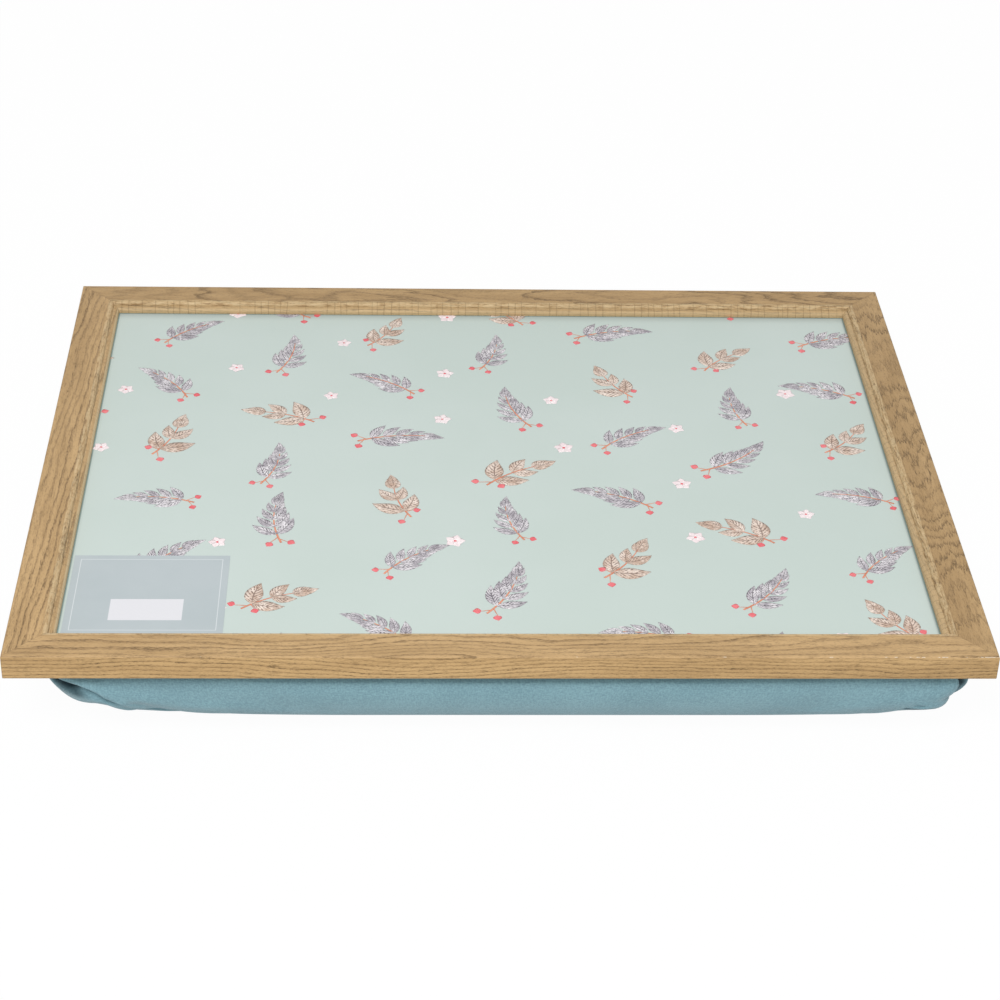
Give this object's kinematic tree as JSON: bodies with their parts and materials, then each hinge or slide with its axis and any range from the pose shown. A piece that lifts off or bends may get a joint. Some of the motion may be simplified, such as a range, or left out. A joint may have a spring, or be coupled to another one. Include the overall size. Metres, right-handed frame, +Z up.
{
  "type": "lap tray with cushion",
  "caption": "Rectangular lap tray: a mitred wood-effect frame holds a recessed printed board, and a bead-filled cloth cushion is stapled underneath.",
  "frame": {"origin": "on the surface that the cushion rests on, below the middle of the tray", "axes": "+X along the tray's long side, +Y away from the person who uses it, +Z up"},
  "size_m": [0.44, 0.34, 0.06],
  "materials": {
    "wood_effect_moulding": "oak-effect foil over foamed plastic, satin",
    "fibre_board": "raw medium density fibre board",
    "printed_laminate": "wipe-clean matt printed laminate",
    "label_paper": "blank coated paper label",
    "cushion_cloth": "plain woven polyester",
    "lining_cloth": "thin non-woven polyester",
    "polystyrene_beads": "loose expanded beads",
    "fastener_steel": "galvanised"
  },
  "bodies": {
    "root": {"frame_front_rail": "wood_effect_moulding", "frame_right_rail": "wood_effect_moulding", "frame_back_rail": "wood_effect_moulding", "frame_left_rail": "wood_effect_moulding", "mitre_v_nails": "fastener_steel", "tray_board": "fibre_board", "printed_sheet": "printed_laminate", "paper_label": "label_paper", "board_points": "fastener_steel", "cushion_cover": "cushion_cloth", "cushion_lining": "lining_cloth", "bead_filling": "polystyrene_beads", "cushion_staples": "fastener_steel"}
  },
  "joints": []
}
